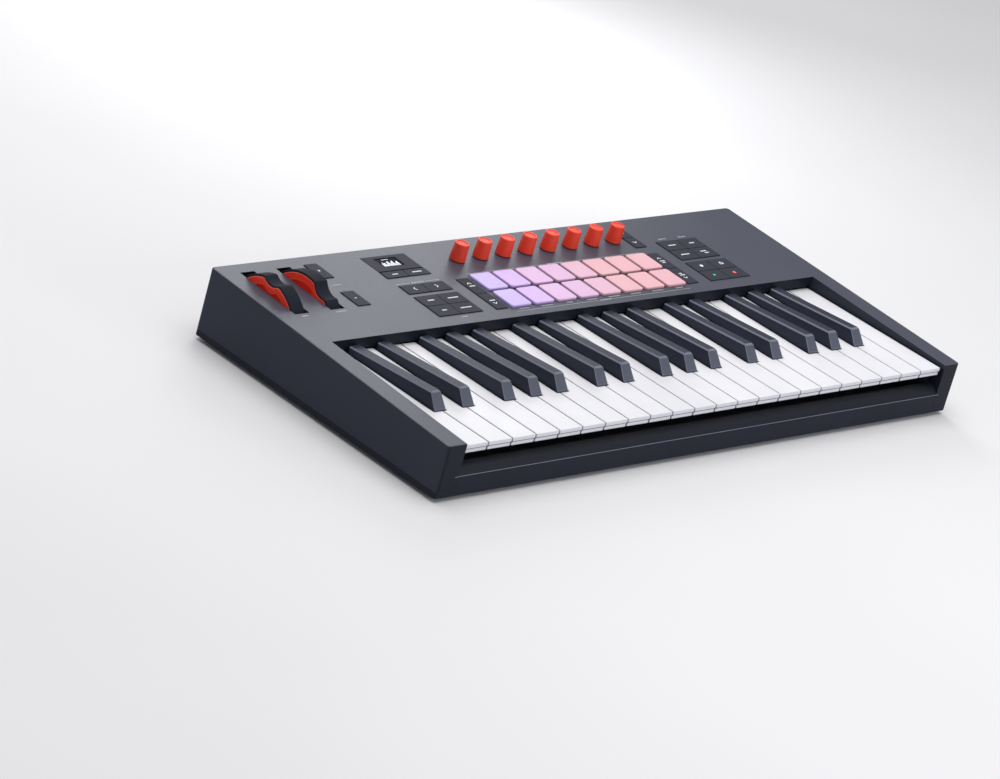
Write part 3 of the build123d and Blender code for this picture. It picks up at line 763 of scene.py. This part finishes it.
def drawLegend(kind, bms, x, v, base):
    white = bms["print"]
    if kind == "plus":
        for arm in (Vector((0.8 * mm, 0)), Vector((0, 0.8 * mm))):
            stroke(white, Vector((x, v)) - arm, Vector((x, v)) + arm, base + (0.01 * mm if arm.x else 0))
    elif kind == "minus":
        stroke(white, Vector((x - 0.7 * mm, v)), Vector((x + 0.7 * mm, v)), base)
    elif kind == "words":
        word(white, x, v + 1.4 * mm, 6.5 * mm, base)
        word(white, x + 1.0 * mm, v - 1.4 * mm, 4.0 * mm, base)
    elif kind.startswith("word"):
        word(white, x, v, float(kind[4:]) * mm, base)
    elif kind in ("left", "right"):
        chevron(white, x, v, (-1 if kind == "left" else 1, 0), base)
    elif kind[:2] == "up" or kind[:4] == "down":
        side = 1 if kind[:2] == "up" else -1
        chevron(white, x, v + side * 3.4 * mm * ("ord" in kind), (0, side), base)
        if "ord" in kind:
            word(white, x, v - side * 0.6 * mm, 5.0 * mm, base)
        if kind.endswith("Words"):
            word(white, x, v - side * 3.0 * mm, 3.6 * mm, base)
    elif kind == "dot":
        flatShape(white, circle(x, v, 1.5 * mm, 32), base)
    elif kind == "loop":
        loopIcon(white, x, v, base)
    elif kind == "play":
        points = [Vector((x - 1.2 * mm, v - 1.5 * mm)), Vector((x + 1.5 * mm, v)),
                  Vector((x - 1.2 * mm, v + 1.5 * mm))]
        flatShape(bms["green"], roundOutline(points, 0.3 * mm), base)
    elif kind == "record":
        flatShape(bms["red"], circle(x, v, 1.6 * mm, 32), base)


def makeButtons(node, s, finish):
    bm = bmesh.new()
    top = topLevel(node)
    caps = flatBoxes(node, top)
    for flange in flatBoxes(node, s["flangeTop"]):
        plate(bm, rectangle(flange["x"], flange["v"], flange["wide"], flange["long"]), 0.4 * mm,
              [(0, s["flangeTop"] - s["flangeSkin"]), (0, s["flangeTop"])])
    legends = {"print": bmesh.new(), "green": bmesh.new(), "red": bmesh.new()}
    for cap, kind in zip(caps, s["legends"][node]):
        wide = cap["wide"] + 2 * s["grow"]
        long = cap["long"] + 2 * s["grow"]
        levels = [(0, s["capFoot"])] + edgeLevels(top, s["soft"])
        plate(bm, rectangle(cap["x"], cap["v"], wide, long), s["corner"], levels)
        drawLegend(kind, legends, cap["x"], cap["v"], top)
    addPiece(node + "_caps", bm, node, [finish["button"]], [node])
    for colour, marks in legends.items():
        if len(marks.verts):
            addPiece(f"{node}_{colour}_legends", marks, node, [finish[colour]])
        else:
            marks.free()
    return caps


# display

displaySet = {
    "face": 0.2 * mm,
    "windowFloor": -0.5 * mm,
    "grow": 0.15 * mm,
    "corner": 0.8 * mm,
    "bars": [4, 6, 5, 3, 6, 7, 4, 6, 7, 3, 5, 6],    # a plain level graphic
    "word": {**legendSet, "letter": [0.4, 0.3, 0.5], "letterHeight": 0.7 * mm},
}


def makeDisplay(s, finish):
    face = flatBoxes("display_module", s["face"])[0]
    window = flatBoxes("display_module", s["windowFloor"])[0]
    bm = bmesh.new()
    wide = face["wide"] + 2 * s["grow"]
    long = face["long"] + 2 * s["grow"]
    outside = rectangle(face["x"], face["v"], wide, long)
    inside = rectangle(window["x"], window["v"], window["wide"], window["long"])
    soft = 0.12 * mm
    rings = [(roundOutline(outside, s["corner"]), -3.4 * mm)]
    rings += [(roundOutline(outside, s["corner"], inset), height)
              for inset, height in edgeLevels(s["face"], s["grow"])]
    rings += [(roundOutline(inside, 0.3 * mm, -soft), s["face"]),
              (roundOutline(inside, 0.3 * mm), s["face"] - soft),
              (roundOutline(inside, 0.3 * mm), s["windowFloor"] - 0.2 * mm)]
    stack(bm, rings, onPanel)
    addPiece("display_bezel", bm, "case", [finish["button"]], ["display_module"])
    pane = bmesh.new()
    plate(pane, inside, 0.3 * mm, [(0.05 * mm, s["windowFloor"] - 0.15 * mm)]
          + [(inset + 0.05 * mm, height)
             for inset, height in edgeLevels(s["windowFloor"] + 0.2 * mm, 0.1 * mm)])
    addPiece("display_window", pane, "case", [finish["glass"]])
    graphic = bmesh.new()
    base = s["windowFloor"] + 0.2 * mm
    pitch = window["wide"] * 0.78 / len(s["bars"])
    start = window["x"] - pitch * (len(s["bars"]) - 1) / 2
    floor = window["v"] - window["long"] * 0.4
    for index, height in enumerate(s["bars"]):
        tall = height * 0.95 * mm
        flatShape(graphic, rectangle(start + index * pitch, floor + tall / 2, pitch * 0.5, tall), base)
    word(graphic, window["x"] - 1 * mm, window["v"] + window["long"] * 0.36, 6 * mm, base, s["word"])
    addPiece("display_graphic", graphic, "case", [finish["graphic"]])


# printed marks on the panel

printSet = {"line": 0.35 * mm}


def lineMark(bm, x, v, wide, wordWide, s=printSet):    # a fine line with a word in its middle
    reach = (wide - wordWide) / 2 - 1.5 * mm
    for side in (-1, 1):
        centre = x + side * (wordWide / 2 + 1.5 * mm + reach / 2)
        flatShape(bm, rectangle(centre, v, reach, s["line"]), 0)
    word(bm, x, v, wordWide, 0)


def makePrint(pads, octaveCaps, leftCaps, rightCaps, finish):
    bm = bmesh.new()
    for name in ("pitch_wheel", "mod_wheel"):
        centre = toPanel(Vector(joints[name + "_turn"]["pos_m"]))
        word(bm, centre.x, centre.y - 34.5 * mm, 5.5 * mm if name[0] == "p" else 10 * mm, 0)
    word(bm, octaveCaps[0]["x"], (octaveCaps[0]["v"] + octaveCaps[1]["v"]) / 2, 7.5 * mm, 0)
    track = leftCaps[2:4]
    middle = (track[0]["x"] + track[1]["x"]) / 2
    lineMark(bm, middle, track[0]["v"] + 9.0 * mm, 44 * mm, 13 * mm)
    word(bm, middle, leftCaps[-1]["v"] - 10.8 * mm, 5.5 * mm, 0)
    padMiddle = sum(pad["x"] for pad in pads) / len(pads)
    padFar = pads[0]["v"] + 14.6 * mm
    padNear = pads[-1]["v"] - 13.8 * mm
    lineMark(bm, padMiddle, padFar, 190 * mm, 17 * mm)
    lineMark(bm, padMiddle, padNear - 3.0 * mm, 190 * mm, 13 * mm)
    for index, pad in enumerate(pads[8:]):
        word(bm, pad["x"], padNear, (10, 12, 6, 11, 12, 11, 12, 7)[index] * mm, 0)
    for cap in rightCaps[2:4]:
        word(bm, cap["x"], cap["v"] + 11.2 * mm, 8 * mm, 0)
    addPiece("panel_print", bm, "case", [finish["print2"]])


# metal in the rear sockets

rearSet = {
    "usb": (8.5 * mm, 7.7 * mm),
    "usbSkin": 0.35 * mm,
    "usbDepth": 7.0 * mm,
    "jackRing": (4.2 * mm, 3.3 * mm),
    "midiShell": (6.75 * mm, 6.35 * mm),
    "midiDepth": 7.5 * mm,
    "pinRing": (0.8 * mm, 0.5 * mm),
    "pinCircle": 4.6 * mm,
}


def tube(bm, outer, inner, place, depth):    # a sleeve from its mouth inwards
    rows = [[bm.verts.new(place(point.x, point.y, height)) for point in outline]
            for outline, height in ((outer, 0), (outer, depth), (inner, depth), (inner, 0))]
    count = len(outer)
    for low, high in zip(rows, rows[1:] + rows[:1]):
        for index in range(count):
            after = (index + 1) % count
            bm.faces.new((low[index], low[after], high[after], high[index]))


def makeRearMetal(s, finish):
    faceY = mounts["usb_socket"]["pos_m"][1]

    def placeAt(mount, inset):
        centre = Vector(mounts[mount]["pos_m"])
        return lambda a, b, h: Vector((centre.x + a, faceY - inset - h, centre.z + b))

    usb = bmesh.new()
    wide, tall = s["usb"]
    outer = rectangle(0, 0, wide, tall)
    skin = s["usbSkin"]
    tube(usb, roundOutline(outer, 0.6 * mm), roundOutline(outer, 0.6 * mm, skin),
         placeAt("usb_socket", 0.1 * mm), s["usbDepth"])
    addPiece("usb_shell", usb, "case", [finish["steel"]])
    ring = bmesh.new()
    tube(ring, circle(0, 0, s["jackRing"][0]), circle(0, 0, s["jackRing"][1]),
         placeAt("pedal_jack", -0.25 * mm), 0.4 * mm)
    addPiece("pedal_jack_ring", ring, "case", [finish["steel"]])
    midi = bmesh.new()
    tube(midi, circle(0, 0, s["midiShell"][0]), circle(0, 0, s["midiShell"][1]),
         placeAt("midi_socket", 0.2 * mm), s["midiDepth"])
    floor = placeAt("midi_socket", 8.1 * mm)
    for index in range(5):
        turn = math.pi + math.pi * index / 4
        x, z = s["pinCircle"] * math.cos(turn), s["pinCircle"] * math.sin(turn)
        tube(midi, circle(x, z, s["pinRing"][0], 20), circle(x, z, s["pinRing"][1], 20), floor, 1.5 * mm)
    addPiece("midi_shell", midi, "case", [finish["steel"]])


# keys

keySet = {
    "blackClear": 0.8 * mm,
    "slab": 3.0 * mm,
    "back": 16.5 * mm,
    "corner": 0.7 * mm,
    "edge": 0.75 * mm,
    "groove": 0.5 * mm,
    "inset": 0.25 * mm,
    "faceBack": 0.45 * mm,
    "faceHeight": 6.2 * mm,
    "frontZone": 13.0 * mm,
    "skirt": 9.7 * mm,
    "crownFoot": 0.8 * mm,    # where a black key starts to lean in, over the white tops
    "crownBack": 13.8 * mm,
    "rake": 8.3 * mm,
    "backDrop": 6.0 * mm,
    "lean": 0.079,
    "chamfer": 0.95 * mm,
    "tailFront": 7.0 * mm,
    "tailHalf": {"white": 4.5 * mm, "black": 3.7 * mm},
    "tailRise": 9.0 * mm,
    "rod": 2.05 * mm,
}


def addTail(bm, node, s, centre, half):    # the hidden arm, open underneath where it sits on the rod
    low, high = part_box(node)
    rod = Vector(joints[node + "_press"]["pos_m"])
    foot = low.z
    arch = [Vector((rod.y + s["rod"] * math.cos(turn), rod.z + s["rod"] * math.sin(turn)))
            for turn in (math.pi * (1 - step / 8) for step in range(9))]
    side = [Vector((s["tailFront"], foot)), Vector((rod.y - s["rod"], foot))] + arch
    side += [Vector((rod.y + s["rod"], foot)), Vector((high.y, foot)),
             Vector((high.y, foot + s["tailRise"])), Vector((s["tailFront"], foot + s["tailRise"]))]
    stack(bm, [(side, -half), (side, half)], lambda a, b, h: Vector((centre + h, a, b)))


def flat(x, y, z):
    return Vector((x, y, z))


def makeWhiteKey(node, s, blacks, finish):
    low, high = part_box(node)
    innerLeft, innerRight = low.x, high.x
    front, top = low.y, high.z
    for box in blacks:
        if box[0].x < low.x < box[1].x:
            innerLeft = box[1].x + s["blackClear"]
        if box[0].x < high.x < box[1].x:
            innerRight = box[0].x - s["blackClear"]
    step = blacks[0][0].y - s["blackClear"]

    def outline(face):
        points = [Vector((low.x, face)), Vector((high.x, face))]
        if innerRight < high.x:
            points += [Vector((high.x, step)), Vector((innerRight, step))]
        points += [Vector((innerRight, s["back"])), Vector((innerLeft, s["back"]))]
        if innerLeft > low.x:
            points += [Vector((innerLeft, step)), Vector((low.x, step))]
        return points

    slabFoot = top - s["slab"]
    bm = bmesh.new()
    levels = [(0.2 * mm, slabFoot), (0, slabFoot + 0.2 * mm)] + edgeLevels(top, s["edge"])
    plate(bm, outline(front), s["corner"], levels, flat)
    neck = [(1.2 * mm, slabFoot - s["groove"]), (1.2 * mm, slabFoot)]
    plate(bm, outline(front + s["faceBack"]), s["corner"], neck, flat)
    face = [(s["inset"], top - s["faceHeight"]), (s["inset"], slabFoot - s["groove"])]
    plate(bm, outline(front + s["faceBack"]), s["corner"], face, flat)
    skirt = [(s["inset"], top - s["skirt"]), (s["inset"], top - s["faceHeight"])]
    plate(bm, outline(front + s["frontZone"]), s["corner"], skirt, flat)
    addTail(bm, node, s, (innerLeft + innerRight) / 2, s["tailHalf"]["white"])
    addPiece(node + "_top", bm, node, [finish["white"]], [node])


def makeBlackKey(node, s, whiteTop, finish):
    low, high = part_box(node)
    centre = (low.x + high.x) / 2
    half = (high.x - low.x) / 2
    lean = whiteTop + s["crownFoot"]

    def crownRing(inset, drop):
        corners = []
        for peak, near in ((high.z, True), (high.z - s["backDrop"], False)):
            height = peak - drop
            wide = half - s["lean"] * (height - lean) - inset
            y = s["crownBack"]
            if near:
                y = low.y + s["rake"] * (height - lean) / (high.z - lean) + inset
            corners.append((wide, y, height))
        (nearHalf, nearY, nearZ), (farHalf, farY, farZ) = corners
        points = [Vector((centre - nearHalf, nearY)), Vector((centre + nearHalf, nearY)),
                  Vector((centre + farHalf, farY)), Vector((centre - farHalf, farY))]
        outline = roundOutline(points, 0.6 * mm, 0, 3)
        slope = (farZ - nearZ) / (farY - nearY)
        return outline, (lambda y: nearZ + (y - nearY) * slope)

    foot = rectangle(centre, (low.y + s["crownBack"]) / 2, 2 * half, s["crownBack"] - low.y)
    foot = roundOutline(foot, 0.6 * mm, 0, 3)
    rings = [(foot, lambda y: whiteTop - s["skirt"]), (foot, lambda y: lean),
             crownRing(0, s["chamfer"]), crownRing(s["chamfer"] * 0.9, 0)]
    bm = bmesh.new()
    rows = [(outline, height) for outline, height in rings]
    stack(bm, rows, lambda x, y, height: Vector((x, y, height(y))))
    addTail(bm, node, s, centre, s["tailHalf"]["black"])
    bm.normal_update()
    # painted highlight: chamfer and front-edge faces over the white tops take the lighter edge finish
    for face in bm.faces:
        side = abs(face.normal.x)
        brow = side < 0.1 and -0.68 < face.normal.y < -0.15 and face.normal.z > 0.6
        if face.calc_center_median().z > lean and (0.3 < side < 0.94 or brow):
            face.material_index = 1
    addPiece(node + "_top", bm, node, [finish["black"], finish["blackEdge"]], [node], sharp=25)


# floor

floorSet = {"size": 8.0, "cells": 24, "colour": (240, 240, 242)}


def makeFloor(s):
    bm = bmesh.new()
    bmesh.ops.create_grid(bm, x_segments=s["cells"], y_segments=s["cells"], size=s["size"])
    mesh = bpy.data.meshes.new("floor")
    bm.to_mesh(mesh)
    bm.free()
    floor = bpy.data.objects.new("floor", mesh)
    bpy.context.scene.collection.objects.link(floor)
    floor.location.z = cadLow.z
    mesh.materials.append(moulded("studioFloor", screenColour(*s["colour"]), roughness=0.8, cloudScale=0.6,
                                  grainScale=300.0, edgeRadius=0.001 * mm))


makeWorld(worldSet)
makeCamera(cameraSet)
for lightRow in lightSet:
    makeLight(lightRow)
makeFloor(floorSet)
print("studio ready")

finish = makeFinishes()
for node, name in nodeFinishes.items():
    paintNode(node, finish[name])
print("finishes on the kept parts")

blackKeys = [node for node in nodes if "_sharp" in node]
whiteKeys = [node for node in nodes if node + "_press" in joints and node.startswith("key_")
             and node not in blackKeys]
blackBoxes = [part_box(node) for node in blackKeys]
for node in whiteKeys:
    makeWhiteKey(node, keySet, blackBoxes, finish)
for node in blackKeys:
    makeBlackKey(node, keySet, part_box(whiteKeys[0])[1].z, finish)
print("keys:", len(whiteKeys), "white,", len(blackKeys), "black")

for node in ("pitch_wheel", "mod_wheel"):
    makeWheel(node, wheelSet, finish)
for index in range(8):
    makeKnob(f"knob_{index + 1}", knobSet, finish)
print("wheels and knobs")

padBoxes = makePads(padSet)
octaveCaps = makeButtons("octave_buttons", buttonSet, finish)
leftCaps = makeButtons("left_buttons", buttonSet, finish)
rightCaps = makeButtons("right_buttons", buttonSet, finish)
makeDisplay(displaySet, finish)
makePrint(padBoxes, octaveCaps, leftCaps, rightCaps, finish)
makeRearMetal(rearSet, finish)
print("pads:", len(padBoxes), "caps:", len(octaveCaps), len(leftCaps), len(rightCaps))
